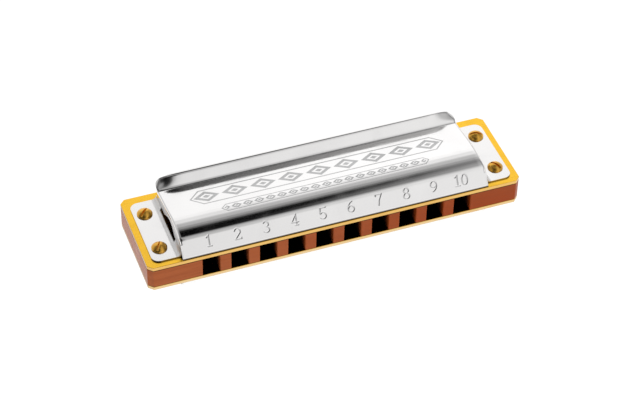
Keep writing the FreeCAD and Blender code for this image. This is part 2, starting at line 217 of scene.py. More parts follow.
def marks_of(tree, size):
    """The smear and scratch outputs of the handling group."""
    node = add_node(tree, "ShaderNodeGroup", node_tree=handling)
    fill_inputs(tree, node, {"Size": size})
    return node.outputs["Smear"], node.outputs["Scratch"]


def split_place(tree, output="Object", scale=1000.0):
    """The x, y and z sockets of a texture coordinate, in mm unless scale says otherwise."""
    here = add_node(tree, "ShaderNodeTexCoord")
    grown = add_node(tree, "ShaderNodeVectorMath", {0: here.outputs[output], "Scale": scale},
                     operation="SCALE")
    split = add_node(tree, "ShaderNodeSeparateXYZ", {"Vector": grown.outputs["Vector"]})
    return split.outputs["X"], split.outputs["Y"], split.outputs["Z"]


def make_lacquered_pearwood():
    """Even red brown lacquer over faint grain, bare inside the channels, whose colour is painted
    near black as shade.

    The colour drifts along the bar, the end grain is lighter with a painted sheen, the rubbed
    edges are lighter, a painted shadow darkens the wood next to the plates, and pores show as
    fine dashes along the grain.
    """
    material, shader = set_up_material("lacquered_pearwood")
    tree = material.node_tree
    grain = noise_of(tree, (40, 700, 700), 5.0, 0.55)
    fibre = noise_of(tree, (260, 5200, 5200), 3.0, 0.55)
    cloud = noise_of(tree, (24, 60, 60), 2.0)
    x, y, z = split_place(tree)
    drift = reading_of(tree, x, -46, 40)
    base = blend_of(tree, drift, (0.51, 0.130, 0.036, 1), (0.41, 0.060, 0.004, 1))
    base = blend_of(tree, reading_of(tree, grain, 0.35, 0.7, 0.0, 0.35), base,
                    (0.34, 0.064, 0.012, 1))
    base = blend_of(tree, reading_of(tree, cloud, 0.4, 0.7, 0.0, 0.25), base,
                    (0.50, 0.14, 0.044, 1))
    base = blend_of(tree, reading_of(tree, fibre, 0.56, 0.74, 0.0, 0.30), base,
                    (0.24, 0.052, 0.012, 1))
    # End faces of the bar: end grain, lightened with a painted sheen where light glances off
    # them.
    across = reckon(tree, "ABSOLUTE", split_place(tree, "Normal", 1.0)[0])
    end_grain_sheen = reckon(tree, "MULTIPLY", reading_of(tree, across, 0.8, 0.97),
                       reading_of(tree, reckon(tree, "ABSOLUTE", x), 47.0, 48.0))
    base = blend_of(tree, end_grain_sheen, base, (0.55, 0.215, 0.13, 1))
    worn = wear_of(tree, 0.00025, 260.0)
    base = blend_of(tree, reckon(tree, "MULTIPLY", worn, 0.5), base, (0.42, 0.15, 0.062, 1))
    row_end = hole_count * hole_pitch / 2
    under_row = reading_of(tree, reckon(tree, "ABSOLUTE", x), row_end - 1, row_end - 1.4)
    inside = reading_of(tree, y, -comb_rear + 0.05, -comb_rear + 2.6)
    back = reading_of(tree, y, comb_rear - 0.3, comb_rear - 0.6)
    # Inside the channels the wood is bare and rougher, and its colour is painted near black as
    # shade in the recess.
    bare_and_shaded = reckon(tree, "MULTIPLY", under_row, reckon(tree, "MULTIPLY", inside, back))
    base = blend_of(tree, bare_and_shaded, base, (0.030, 0.010, 0.005, 1))
    # Painted shadow: the wood is darkened along its faces next to the plates, where the joint
    # lies in shade.
    seam_shadow = reading_of(tree, reckon(tree, "ABSOLUTE", z), comb_top - 0.3, comb_top - 0.05)
    base = blend_of(tree, reckon(tree, "MULTIPLY", seam_shadow, 0.8), base, (0.06, 0.025, 0.012, 1))
    smear, scratch = marks_of(tree, 1.0)
    rough = reading_of(tree, fibre, 0.3, 0.7, 0.30, 0.40, smooth=False)
    rough = reckon(tree, "MULTIPLY_ADD", smear, 0.06, rough)
    rough = reckon(tree, "MULTIPLY_ADD", bare_and_shaded, 0.3, rough)
    relief = add_node(tree, "ShaderNodeBump", {"Height": fibre, "Strength": 0.2,
                                               "Distance": 0.00003})
    fill_inputs(tree, shader, {"Base Color": base, "Roughness": rough,
                               "Normal": relief.outputs["Normal"],
                               "Specular IOR Level": 0.12})
    return material


def add_piece(name, mesh, stands_for=None):
    """Put a mesh in the scene as a piece of the instrument, hiding the node it stands for."""
    piece = bpy.data.objects.new(name, mesh)
    bpy.context.scene.collection.objects.link(piece)
    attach(piece, "instrument")
    if stands_for:
        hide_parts(stands_for)
    return piece


def ease_edges(piece, width, angle):
    """Round off a piece's edges that are sharper than an angle, by a width in mm."""
    ease = piece.modifiers.new("eased_edges", "BEVEL")
    ease.width = width / 1000
    ease.segments = 2
    ease.limit_method = "ANGLE"
    ease.angle_limit = math.radians(angle)
    ease.harden_normals = True


def hole_place(i):
    """Middle of hole i along the comb, counted from 0."""
    return (i - (hole_count - 1) / 2) * hole_pitch


def make_comb_mesh():
    """The comb: its plan, with cut corners and ten channels, raised to its thickness.

    A channel has slightly flared lips at its mouth and a round of 1 mm in each inner corner.
    """
    plan = [(-comb_end, corner_cut - comb_rear), (corner_cut - comb_end, -comb_rear)]
    half, lip, radius = hole_width / 2, channel_lip, channel_corner_radius
    turn = np.radians(np.arange(0, 91, 15))
    for i in range(hole_count):
        middle = hole_place(i)
        end = np.interp(i, (0, hole_count - 1), (channel_first_end, channel_last_end))
        round_x, round_y = radius * (1 - np.cos(turn)), radius * (np.sin(turn) - 1)
        plan += [(middle - half - lip, -comb_rear), (middle - half, lip - comb_rear)]
        plan += zip(middle - half + round_x, end + round_y)
        plan += zip(middle + half - round_x[::-1], end + round_y[::-1])
        plan += [(middle + half, lip - comb_rear), (middle + half + lip, -comb_rear)]
    plan += [(comb_end - corner_cut, -comb_rear), (comb_end, corner_cut - comb_rear),
             (comb_end, comb_rear - corner_cut), (comb_end - corner_cut, comb_rear),
             (corner_cut - comb_end, comb_rear), (-comb_end, comb_rear - corner_cut)]
    plan = np.array(plan)
    count = len(plan)
    points = np.concatenate([np.insert(plan, 2, level, axis=1)
                             for level in (-comb_top, comb_top)])
    ring = np.arange(count)
    after = np.roll(ring, -1)
    sides = np.stack([ring, after, after + count, ring + count], 1).tolist()
    mesh = bpy.data.meshes.new("comb")
    mesh.from_pydata((points / 1000).tolist(), [],
                     sides + [ring[::-1].tolist(), (ring + count).tolist()])
    mesh.shade_smooth()
    return mesh


pearwood = make_lacquered_pearwood()
comb_mesh = make_comb_mesh()
comb_mesh.materials.append(pearwood)
ease_edges(add_piece("comb_body", comb_mesh, "comb"), eased_edge, 20)


# ---------------------------------------------------------------------------------------
# Reed plates. Two sheets of rolled brass, 1 mm thick, cut flush with the comb. Their faces
# keep the fine lines of the rolling and their sawn rims are paler.
# ---------------------------------------------------------------------------------------

def make_brass(name, bright, dull, grain, rough_low, rough_high, rim=None):
    """Brass with fine lines along the plate; its colour dulls in clouds and on edges.

    grain stretches the lines, and rim is the colour of sawn sides, if they differ. With a rim,
    the lower rim gets a painted reflection of the floor, the end faces and the top under and
    just in front of the covers get painted shade.
    """
    material, shader = set_up_material(name)
    tree = material.node_tree
    lines = noise_of(tree, grain, 4.0, 0.7)
    cloud = noise_of(tree, (110, 110, 110), 4.0)
    base = bright
    if rim:
        across, _, upright = split_place(tree, "Normal", 1.0)
        side = reading_of(tree, reckon(tree, "ABSOLUTE", upright), 0.8, 0.4)
        base = blend_of(tree, side, bright, rim)
        x, y, z = split_place(tree)
        # Painted reflection: the lower plate's rim is paled towards the white of the floor below
        # it.
        low = reckon(tree, "MULTIPLY", side, reading_of(tree, z, -2.9, -3.1))
        base = blend_of(tree, low, base, (0.78, 0.58, 0.31, 1))
        # Painted shade: the plate's end faces are darkened brown.
        end = reading_of(tree, reckon(tree, "ABSOLUTE", across), 0.6, 0.95, 0.0, 0.8)
        base = blend_of(tree, end, base, (0.30, 0.145, 0.06, 1))
        # Painted shade: the plate top under the covers and just in front of their foot is
        # darkened to near black.
        shade_under_cover = reckon(tree, "MULTIPLY",
                         reading_of(tree, reckon(tree, "ABSOLUTE", x), 41.2, 40.8),
                         reading_of(tree, y, -12.93, -12.7))
        shade_under_cover = reckon(tree, "MULTIPLY", shade_under_cover, reading_of(tree, y, 10.2, 9.9))
        shade_under_cover = reckon(tree, "MULTIPLY", shade_under_cover, reckon(tree, "SUBTRACT", 1.0, side))
    base = blend_of(tree, reading_of(tree, cloud, 0.52, 0.75, 0.0, 0.3), base, dull)
    base = blend_of(tree, reading_of(tree, lines, 0.52, 0.75, 0.0, 0.18), base, dull)
    worn = wear_of(tree, 0.00015, 500.0)
    base = blend_of(tree, reckon(tree, "MULTIPLY", worn, 0.55), base, dull)
    if rim:
        base = blend_of(tree, shade_under_cover, base, (0.09, 0.045, 0.018, 1))
    smear, scratch = marks_of(tree, 1.4)
    rough = reading_of(tree, lines, 0.3, 0.7, rough_low, rough_high)
    rough = reckon(tree, "MULTIPLY_ADD", smear, 0.08, rough)
    height = reckon(tree, "MULTIPLY_ADD", scratch, -0.4, lines)
    relief = add_node(tree, "ShaderNodeBump", {"Height": height, "Strength": 0.3,
                                               "Distance": 0.00003})
    fill_inputs(tree, shader, {"Base Color": base, "Roughness": rough, "Metallic": 1.0,
                               "Normal": relief.outputs["Normal"]})
    return material


def make_plate_mesh(fronts, rears):
    """A reed plate's outer face in plan, as a sheet with ten slots between two rows of y.

    Columns run along the plate with one on each side of a slot, and four rows run across:
    front edge, slot fronts, slot rears, back edge. Cells inside a slot are left out. The
    corners are cut as the comb's are.
    """
    middles = hole_place(np.arange(hole_count))
    x = np.stack([middles - slot_width / 2, middles + slot_width / 2], 1).ravel()
    x = np.concatenate([[-comb_end, corner_cut - comb_end], x,
                        [comb_end - corner_cut, comb_end]])
    edge = comb_rear - np.array([corner_cut] + [0] * (len(x) - 2) + [corner_cut])
    front = np.interp(x, middles, fronts)
    rear = np.interp(x, middles, rears)
    front[2:-2] = np.repeat(fronts, 2)
    rear[2:-2] = np.repeat(rears, 2)
    y = np.stack([-edge, front, rear, edge], 1)
    points = np.stack([np.repeat(x[:, None], 4, 1), y, np.zeros(y.shape)], 2)
    corner = np.arange(len(x) - 1)[:, None] * 4 + np.arange(3)
    quads = corner[..., None] + np.array([0, 4, 5, 1])
    keep = np.ones(quads.shape[:2], bool)
    keep[2:-2:2, 1] = False
    return points.reshape(-1, 3), quads[keep]


plate_brass = make_brass("plate_brass", (0.99, 0.575, 0.05, 1), (0.62, 0.29, 0.035, 1),
                         (60, 5200, 5200), 0.13, 0.22, rim=(0.80, 0.50, 0.16, 1))
slot_width = 2.1
slot_tip_gap, slot_root_gap = 0.12, 0.2
reed_share = np.arange(hole_count) / (hole_count - 1)
blow_tip, blow_first_length, blow_last_length = -9.2, 15.4, 9.4
draw_root, draw_first_length, draw_last_length = -7.4, 14.8, 9.0
blow_roots = blow_tip + blow_first_length + (blow_last_length - blow_first_length) * reed_share
draw_tips = draw_root + draw_first_length + (draw_last_length - draw_first_length) * reed_share
for name, hand, fronts, rears in (
        ("upper_reed_plate", 1, np.full(hole_count, blow_tip - slot_tip_gap),
         blow_roots + slot_root_gap),
        ("lower_reed_plate", -1, np.full(hole_count, draw_root - slot_root_gap),
         draw_tips + slot_tip_gap)):
    outer_face = max(abs(corner.z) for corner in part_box(name))
    points, faces = make_plate_mesh(fronts, rears)
    points = points / 1000 + (0, 0, hand * outer_face)
    mesh = bpy.data.meshes.new(name)
    mesh.from_pydata(points.tolist(), [], (faces if hand > 0 else faces[:, ::-1]).tolist())
    mesh.shade_smooth()
    mesh.materials.append(plate_brass)
    plate = add_piece(name + "_sheet", mesh, name)
    thicken = plate.modifiers.new("thickness", "SOLIDIFY")
    thicken.thickness = outer_face - comb_top / 1000
    thicken.offset = -1
    ease_edges(plate, 0.1, 20)


# ---------------------------------------------------------------------------------------
# Reeds. Twenty tongues of hard brass, each milled thin past its middle, with a root pad
# that a rivet holds on the plate.
# ---------------------------------------------------------------------------------------

def smooth_copy(name, material, ease=0.0):
    """A merged copy of a node, its rounds shaded smooth and its corners crisp or eased.

    The copy takes the node's place on the instrument. ease is the width in mm that its
    corners are rounded off by.
    """
    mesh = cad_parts[name].data.copy()
    form = bmesh.new()
    form.from_mesh(mesh)
    bmesh.ops.remove_doubles(form, verts=form.verts, dist=2e-6)
    if ease:
        bmesh.ops.dissolve_limit(form, angle_limit=math.radians(1), verts=form.verts,
                                 edges=form.edges)
    for face in form.faces:
        face.smooth = True
    for edge in form.edges:
        crisp = len(edge.link_faces) == 2 and edge.calc_face_angle(0) > math.radians(32)
        edge.smooth = not crisp or ease > 0
    form.to_mesh(mesh)
    form.free()
    mesh.materials.clear()
    mesh.materials.append(material)
    piece = add_piece(name + "_smooth", mesh, name)
    if ease:
        ease_edges(piece, ease, 32)


reed_brass = make_brass("reed_brass", (0.84, 0.58, 0.24, 1), (0.62, 0.40, 0.14, 1),
                        (5000, 300, 5000), 0.22, 0.34)
for kind in ("blow", "draw"):
    for i in range(hole_count):
        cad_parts[f"{kind}_reed_{i + 1}"].data.materials[0] = reed_brass
    smooth_copy(f"{kind}_reed_pads", reed_brass)
    smooth_copy(f"{kind}_reed_rivets", reed_brass)


# ---------------------------------------------------------------------------------------
# Covers. Two like pressings of stainless sheet, 0.4 mm thick, polished bright. Each is drawn
# with closed ends, a brow and a ridge, and ends in two tabs that lie on the plate. The upper
# one is stamped with the hole numbers; the lower one is turned over and bears none.
# ---------------------------------------------------------------------------------------

sheet_thickness = 0.4
section_corners = [(-12.6, 0.0), (-12.5, 0.42), (-10.0, 4.62), (-8.2, 5.12), (-3.6, 5.62),
                   (9.1, 3.9), (11.15, 7.2), (12.6, 5.6)]
section_radii = [0, 0.3, 1.9, 12.0, 24.0, 0.9, 0.8, 0]
shell_end = 40.95
end_roll_radius = 3.2
end_roll_start = 4.0
end_edge_radius = 0.75
notch_height = 3.3
tail_corner_radius = 3.2
hem_radius = 0.42
hem_end = 37.2
hem_inset, hem_drop = 0.1, 0.21
tab_front, tab_rear, tab_end = -11.4, 10.3, 48.2
tab_corner_radius = 2.0
bend_radius = 1.1
bend_top = 1.5
vent_front, vent_rear, vent_height = -6.3, 5.8, 3.8
digit_height = 3.0
digit_middle = 3.4
digit_advance = 2.04
strip_half = 1.74
groove_half_width = 0.19
groove_depth = 0.09
nose_start = 33.5
nose_shift = 1.6
nose_fall = 2.2
even_end = 36.25
wall_rear = 9.4
lip_gap = 0.02


def rounded_run(corners, radii, turn_step):
    """Points, normal angles and lengths along straight lines joined by arcs.

    Each corner is cut back by its radius times the tangent of half its turn, and an arc of
    that radius joins the cuts. The normal lies a quarter turn left of the way along.
    """
    corners = np.array(corners, float)
    ways = np.diff(corners, axis=0)
    angles = np.arctan2(ways[:, 1], ways[:, 0])
    points = [corners[:1]]
    normals = [angles[:1] + math.pi / 2]
    for i in range(1, len(corners) - 1):
        turn = angles[i] - angles[i - 1]
        hand = math.copysign(1, turn)
        way = np.array([math.cos(angles[i - 1]), math.sin(angles[i - 1])])
        begin = corners[i] - radii[i] * math.tan(abs(turn) / 2) * way
        centre = begin + radii[i] * hand * np.array([-way[1], way[0]])
        steps = max(2, math.ceil(math.degrees(abs(turn)) / turn_step))
        sweep = angles[i - 1] + np.linspace(0, turn, steps + 1)
        points.append(centre + radii[i] * hand * np.stack([np.sin(sweep), -np.cos(sweep)], 1))
        normals.append(sweep + math.pi / 2)
    points.append(corners[-1:])
    normals.append(angles[-1:] + math.pi / 2)
    points = np.concatenate(points)
    lengths = np.concatenate([[0], np.cumsum(np.hypot(*np.diff(points, axis=0).T))])
    return points, np.concatenate(normals), lengths


section, section_lean, section_run = rounded_run(section_corners, section_radii, 3.0)


def on_section(run):
    """y, height and the two parts of the outward normal at lengths along the section."""
    lean = np.interp(run, section_run, section_lean)
    return (np.interp(run, section_run, section[:, 0]),
            np.interp(run, section_run, section[:, 1]), np.cos(lean), np.sin(lean))


def digit_strokes():
    """Each figure as polylines in a box one unit high. Bowls are arcs of ellipses."""
    def bowl(x, y, a, b, start, end):
        sweep = np.radians(np.linspace(start, end, 17))
        return np.stack([x + a * np.cos(sweep), y + b * np.sin(sweep)], 1)

    def line(*points):
        return np.array(points, float)

    return {
        "0": [bowl(0, .5, .25, .47, 0, 360)],
        "1": [line((-.18, .8), (.02, .97), (.02, .03)), line((-.16, .03), (.2, .03))],
        "2": [bowl(-.01, .7, .25, .27, 165, -28), line((.21, .57), (-.27, .04), (.28, .04)),
              line((.28, .04), (.28, .17))],
        "3": [bowl(-.02, .74, .22, .23, 150, -78), bowl(-.02, .27, .26, .24, 82, -150)],
        "4": [line((.12, .03), (.12, .97), (-.3, .3), (.3, .3)), line((-.02, .03), (.26, .03))],
        "5": [line((.25, .97), (-.2, .97), (-.24, .53)), bowl(-.02, .3, .27, .28, 142, -150)],
        "6": [bowl(0, .3, .26, .27, 0, 360), bowl(.3, .36, .56, .6, 184, 108)],
        "7": [line((-.26, .84), (-.26, .97), (.28, .97), (.04, .5), (-.05, .03))],
        "8": [bowl(0, .74, .21, .22, 0, 360), bowl(0, .27, .26, .25, 0, 360)],
        "9": [bowl(0, .7, .26, .27, 0, 360), bowl(-.3, .64, .56, .6, 4, -72)],
    }


def stamped_share(x, run):
    """How deep the figures are at each point of the front strip, as a share of the deepest.

    A groove's depth falls from its middle line to its rim as one less the squared share of
    its half width, to the power 1.5.
    """
    depth = np.zeros(x.shape)
    strokes = digit_strokes()
    for hole in range(hole_count):
        label = str(hole + 1)
        centre = hole_place(hole)
        near = np.abs(x - centre) < 2.6
        spot = np.stack([x[near], run[near]], 1)
        reach = np.full(len(spot), 9.0)
        for place, figure in enumerate(label):
            across = centre + (place - (len(label) - 1) / 2) * digit_advance
            for stroke in strokes[figure]:
                path = stroke * digit_height + (across, digit_middle - digit_height / 2)
                way = np.diff(path, axis=0)
                to_spot = spot[:, None, :] - path[:-1]
                share = np.clip((to_spot * way).sum(2) / (way ** 2).sum(1), 0, 1)
                gap = np.linalg.norm(to_spot - share[..., None] * way, axis=2)
                reach = np.minimum(reach, gap.min(1))
        depth[near] = np.clip(1 - (reach / groove_half_width) ** 2, 0, 1) ** 1.5
    return depth


def end_profile(height):
    """How far out a cover's end stands at a height: upright, then rolled in on an arc."""
    rise = np.maximum(height - end_roll_start, 0)
    return shell_end - end_roll_radius + np.sqrt(np.maximum(end_roll_radius ** 2 - rise ** 2, 0))


def tail_limit(y):
    """How far out the sheet reaches at y, where the rear corners are rounded in plan."""
    past = np.clip(y - (section[-1, 0] - tail_corner_radius), 0, tail_corner_radius)
    return shell_end - tail_corner_radius + np.sqrt(tail_corner_radius ** 2 - past ** 2)


def ball_centre(run):
    """Centre of a ball that rolls inside the edge between the section and the end."""
    y, height, out_y, out_z = on_section(run)
    y = y - end_edge_radius * out_y
    height = height - end_edge_radius * out_z
    inner = end_roll_radius - end_edge_radius
    rise = np.maximum(height - end_roll_start, 0)
    x = shell_end - end_roll_radius + np.sqrt(np.maximum(inner ** 2 - rise ** 2, 0))
    return x, y, height


def inner_bow(gap):
    """How far a round corner of a tab falls back, gap being the distance from its side."""
    return 1 - np.sqrt(1 - (1 - np.clip(gap, 0, 1)) ** 2)


def vent_lip(y):
    """Height of the vent's arch, which leans to the front."""
    share = np.clip((y - vent_rear) / (vent_front - vent_rear), 0, 1)
    return vent_height * np.clip(np.sin(np.pi * share ** 1.6), 0, 1) ** 0.75


def eased(share):
    """0 to 1 with level ends, for a share clipped to that range."""
    share = np.clip(share, 0, 1)
    return share ** 2 * (3 - 2 * share)


def drawn_in(points):
    """Draw the ridge in towards the cover's ends: its crest and tail sink and its front slope
    is pressed back, so that it ends in a rounded nose. Foot and valley stay in place.
    """
    x, y, height = np.abs(points[..., 0]), points[..., 1], points[..., 2]
    nose = np.clip((x - nose_start) / (shell_end - nose_start), 0, 1)
    on_ridge = eased((height - 3.9) / 3.3) * eased((y - 8.0) / 1.5)
    fall = nose_fall * nose ** 3 * on_ridge
    back = nose_shift * nose ** 2.5 * on_ridge * eased((12.4 - y) / 1.6)
    return points + np.stack([0 * x, back, -fall], -1)


def grid_quads(rows, columns, first):
    """Quads of a grid whose points are numbered row by row from first."""
    corner = first + np.arange(rows - 1)[:, None] * columns + np.arange(columns - 1)
    return corner[..., None] + np.array([0, 1, columns + 1, columns])


def wall_heights(top, lip, first):
    """Heights down an end wall: nine even steps from its top to a lip, then two to the bend.

    first is 1 where the top itself is left out, because another grid ends there, or else 0.
    """
    down = np.linspace(0, 1, 10)[first:]
    return np.hstack([top[:, None] + down * (lip - top)[:, None],
                      lip[:, None] + np.array([0.5, 1]) * (bend_top - lip)[:, None]])


def make_cover_skin(groove):
    """Points in mm, heights from the plate, faces and stamping of a cover's outer skin.

    Rows follow the section from front to tail and columns run along the cover, round its
    edge, down the end wall and out along the tab. The edge is the arc on which the rolling
    ball touches both sides: the normals are blended evenly by angle about the ball's centre.
    The figures are sunk into the front strip by the depth of the groove.
    """
    parts = []
    stamps = []
    faces = []
    count = 0

    def put(grid, keep=None, flip=False, stamp=None):
        nonlocal count
        blank = np.zeros(grid.shape[0] * grid.shape[1])
        stamps.append(blank if stamp is None else stamp.ravel())
        quads = grid_quads(grid.shape[0], grid.shape[1], count)
        quads = quads[keep] if keep is not None else quads.reshape(-1, 4)
        faces.extend((quads[:, ::-1] if flip else quads).tolist())
        parts.append(grid.reshape(-1, 3))
        count += grid.shape[0] * grid.shape[1]
        return count - grid.shape[0] * grid.shape[1]

    # rows along the section, with extra ones under the vent's arch
    run_end = section_run[-1]
    notch_run = np.interp(notch_height, section[:12, 1], section_run[:12])
    low_fine, high_fine = digit_middle - strip_half, digit_middle + strip_half
    figure_rows = np.linspace(low_fine, high_fine, 39)
    notch_row = int(np.argmin(np.abs(figure_rows - notch_run)))
    steps = np.concatenate([section_run, np.linspace(0, run_end, 60)])
    every = np.linspace(0, run_end, 4000)
    centre_y = ball_centre(every)[1]
    vent_rows = (vent_front + vent_rear) / 2 - np.cos(np.linspace(0, np.pi, 17)) * (
        vent_rear - vent_front) / 2
    vent_run = np.interp(vent_rows, centre_y, every)
    trim_run = np.interp([wall_rear, wall_rear + 0.05], centre_y, every)
    pinned = np.concatenate([vent_run, trim_run])
    steps = steps[(np.abs(steps[:, None] - pinned).min(1) > 0.06)]
    steps = np.sort(np.concatenate([steps, pinned]))
    brow_end = np.interp(-6.95, section[:, 0], section_run)
    brow_rows = steps[(steps > high_fine + 0.06) & (steps < brow_end - 0.05)]
    fine_rows = np.concatenate([figure_rows, brow_rows, [brow_end]])
    low_rows = np.append(steps[steps < low_fine - 0.12], low_fine - 0.1)
    high_rows = np.append(brow_end + 0.1, steps[steps > brow_end + 0.16])

    # columns along the cover: even ones, and fine ones where the numbers are
    side = even_end
    even = np.linspace(-side, side, 59)
    fine = np.concatenate([
        hole_place(hole) + np.arange(-2.2 if hole == 9 else -1.3, 2.25 if hole == 9 else 1.35,
                                     0.1)
        for hole in range(hole_count)])
    fine = fine[(np.abs(fine[:, None] - even).min(1) > 0.03) & (np.abs(fine) < side)]
    fine = np.sort(np.concatenate([fine, even])) if groove else even
    outer = np.array([0.25, 0.5, 0.75, 1.0])

    def main_rows(run, inner):
        """Grid of the main sheet: fixed columns, then even ones out to the edge's round."""
        y, height, out_y, out_z = on_section(run)
        reach = np.minimum(ball_centre(run)[0], tail_limit(y))[:, None]
        wings = side + outer * (reach - side)
        x = np.hstack([-wings[:, ::-1], np.tile(inner, (len(run), 1)), wings])
        depth = np.zeros(x.shape)
        if inner is fine:
            depth = groove * stamped_share(x, np.tile(run[:, None], (1, x.shape[1])))
        return np.stack([x, y[:, None] - depth * out_y[:, None],
                         height[:, None] - depth * out_z[:, None]], 2), depth

    def stitch(coarse_first, fine_first, coarse_above):
        """Faces between a row of even columns and the row of fine ones beside it."""
        wing = len(outer)
        stops = np.concatenate([np.arange(wing), wing + np.searchsorted(fine, even - 1e-9),
                                wing + len(fine) + np.arange(wing)])
        for i in range(len(stops) - 1):
            near = list(range(fine_first + stops[i], fine_first + stops[i + 1] + 1))
            far = [coarse_first + i + 1, coarse_first + i]
            faces.append(near + far if coarse_above else near[::-1] + far[::-1])

    even_width = len(even) + 2 * len(outer)
    fine_width = len(fine) + 2 * len(outer)
    low_first = put(main_rows(low_rows, even)[0])
    grid, depth = main_rows(fine_rows, fine)
    fine_first = put(grid, stamp=depth / groove_depth)
    high_first = put(main_rows(high_rows, even)[0])
    stitch(low_first + (len(low_rows) - 1) * even_width, fine_first, False)
    stitch(high_first, fine_first + (len(fine_rows) - 1) * fine_width, True)

    # the ends: edge round and wall, for the rows above the notch
    end_run = np.concatenate([fine_rows[notch_row:], high_rows])
    y, height, out_y, out_z = on_section(end_run)
    ball_x, ball_y, ball_z = ball_centre(end_run)
    inner = end_roll_radius - end_edge_radius
    rise = np.maximum(ball_z - end_roll_start, 0) / inner
    end_x = np.sqrt(1 - rise ** 2)
    sweep = np.arccos(np.clip(out_z * rise, -1, 1))[:, None]
    share = np.linspace(0, 1, 9)
    first_part = np.sin((1 - share) * sweep) / np.sin(sweep)
    last_part = np.sin(share * sweep) / np.sin(sweep)
    edge = np.stack([
        ball_x[:, None] + end_edge_radius * last_part * end_x[:, None],
        ball_y[:, None] + end_edge_radius * first_part * out_y[:, None],
        ball_z[:, None] + end_edge_radius * (first_part * out_z[:, None]
                                             + last_part * rise[:, None])], 2)
    touch = edge[:, -1, 2]
    in_vent = (ball_y > vent_front - 1e-4) & (ball_y < vent_rear + 1e-4)
    lip = np.minimum(np.maximum(vent_lip(ball_y), bend_top + lip_gap), touch)
    wall_z = wall_heights(touch, lip, 1)
    wall = np.stack([end_profile(wall_z), np.tile(ball_y[:, None], (1, wall_z.shape[1])),
                     wall_z], 2)
    end_grid = np.concatenate([edge, wall], 1)
    for row in np.flatnonzero(ball_y > wall_rear + 1e-3):
        path = end_grid[row]
        over = path[:, 0] - tail_limit(path[:, 1])
        beyond = np.flatnonzero(over > 0)
        if len(beyond) == 0:
            continue
        stop = beyond[0]
        if stop == 0:
            end_grid[row] = (tail_limit(y[row]), y[row], height[row])
            continue
        stop = stop - 1 + over[stop - 1] / (over[stop - 1] - over[stop])
        marks = np.linspace(0, stop, len(path))
        end_grid[row] = np.stack([np.interp(marks, np.arange(len(path)), path[:, k])
                                  for k in range(3)], 1)
    rows, columns = end_grid.shape[:2]
    both = in_vent[:-1] & in_vent[1:]
    keep = np.ones((rows - 1, columns - 1), bool)
    keep[both, -2:] = False

    # the wall's foot in front of the notch
    foot_run = fine_rows[:notch_row + 1]
    foot_z = ball_centre(foot_run)[2]
    lowest = np.interp(bend_top + 0.005, foot_z, foot_run)
    foot_run = np.append(lowest, foot_run[foot_z > bend_top + lip_gap])
    foot_y, foot_z = ball_centre(foot_run)[1:]
    foot_wall = wall_heights(foot_z, np.minimum(foot_z, bend_top + lip_gap), 0)
    foot_grid = np.stack([np.full(foot_wall.shape, shell_end),
                          np.tile(foot_y[:, None], (1, foot_wall.shape[1])), foot_wall], 2)

    # bend and tab
    wall_y = np.concatenate([foot_y[:-1], ball_y[ball_y < wall_rear + 1e-3]])
    ends_y = tab_corner_radius * (1 - np.cos(np.radians([0, 15, 30, 45, 60, 75, 90])))
    front_y = (tab_front + ends_y)[(tab_front + ends_y) < wall_y[0] - 0.03]
    rear_y = (tab_rear - ends_y)[(tab_rear - ends_y) > wall_y[-1] + 0.03][::-1]
    tab_y = np.concatenate([front_y, wall_y, rear_y])
    turn = np.radians(np.linspace(0, 90, 8))
    bend = np.stack(np.broadcast_arrays(shell_end + bend_radius * (1 - np.cos(turn)),
                                        tab_y[:, None],
                                        bend_top - bend_radius * np.sin(turn)), 2)
    gap = np.minimum(tab_y - tab_front, tab_rear - tab_y) / tab_corner_radius
    far = tab_end - tab_corner_radius * inner_bow(gap)
    out = np.linspace(0, 1, 9)[1:]
    root = shell_end + bend_radius
    flat = np.stack(np.broadcast_arrays(root + out * (far - root)[:, None], tab_y[:, None],
                                        np.full((1, 8), bend_top - bend_radius)), 2)
    tab_grid = np.concatenate([bend, flat], 1)
    tab_vent = (tab_y > vent_front - 1e-4) & (tab_y < vent_rear + 1e-4)
    tab_keep = np.ones((len(tab_y) - 1, tab_grid.shape[1] - 1), bool)
    tab_keep[tab_vent[:-1] & tab_vent[1:], :4] = False

    # the sheared ends of the front strip
    strip_run = np.concatenate([low_rows, fine_rows[:notch_row + 1]])
    strip_y, strip_z, _, _ = on_section(strip_run)
    strip_x = shell_end - end_edge_radius * np.array([1, 0.5, 0])
    ear = np.stack(np.broadcast_arrays(strip_x, strip_y[:, None], strip_z[:, None]), 2)

    for hand in (1, -1):
        mirror = np.array([hand, 1, 1])
        put(end_grid * mirror, keep, hand < 0)
        put(foot_grid * mirror, None, hand < 0)
        put(tab_grid * mirror, tab_keep, hand < 0)
        put(ear * mirror, None, hand < 0)
    return drawn_in(np.concatenate(parts)), faces, np.concatenate(stamps)


def make_hem():
    """Points and faces of the rolled edge: a ring of points carried along the tail."""
    turn = np.radians(np.arange(0, 360, 18))
    reach = np.concatenate([[-hem_end], -hem_end + 0.12 * np.array([0.3, 1]),
                            np.linspace(-hem_end + 1, hem_end - 1, 9),
                            hem_end - 0.12 * np.array([1, 0.3]), [hem_end]])
    size = hem_radius * np.ones(len(reach))
    size[[0, -1]] *= 0.72
    size[[1, -2]] *= 0.93
    y = section[-1, 0] - hem_inset + size[:, None] * np.cos(turn)
    z = section[-1, 1] - hem_drop + size[:, None] * np.sin(turn)
    ring = np.stack(np.broadcast_arrays(reach[:, None], y, z), 2)
    ring = np.concatenate([ring, ring[:, :1]], 1)
    quads = grid_quads(*ring.shape[:2], 0).reshape(-1, 4)[:, ::-1].tolist()
    width = ring.shape[1]
    caps = [list(range(width - 1)), list(range((len(reach) - 1) * width,
                                               len(reach) * width - 1))[::-1]]
    return drawn_in(ring.reshape(-1, 3)), quads + caps


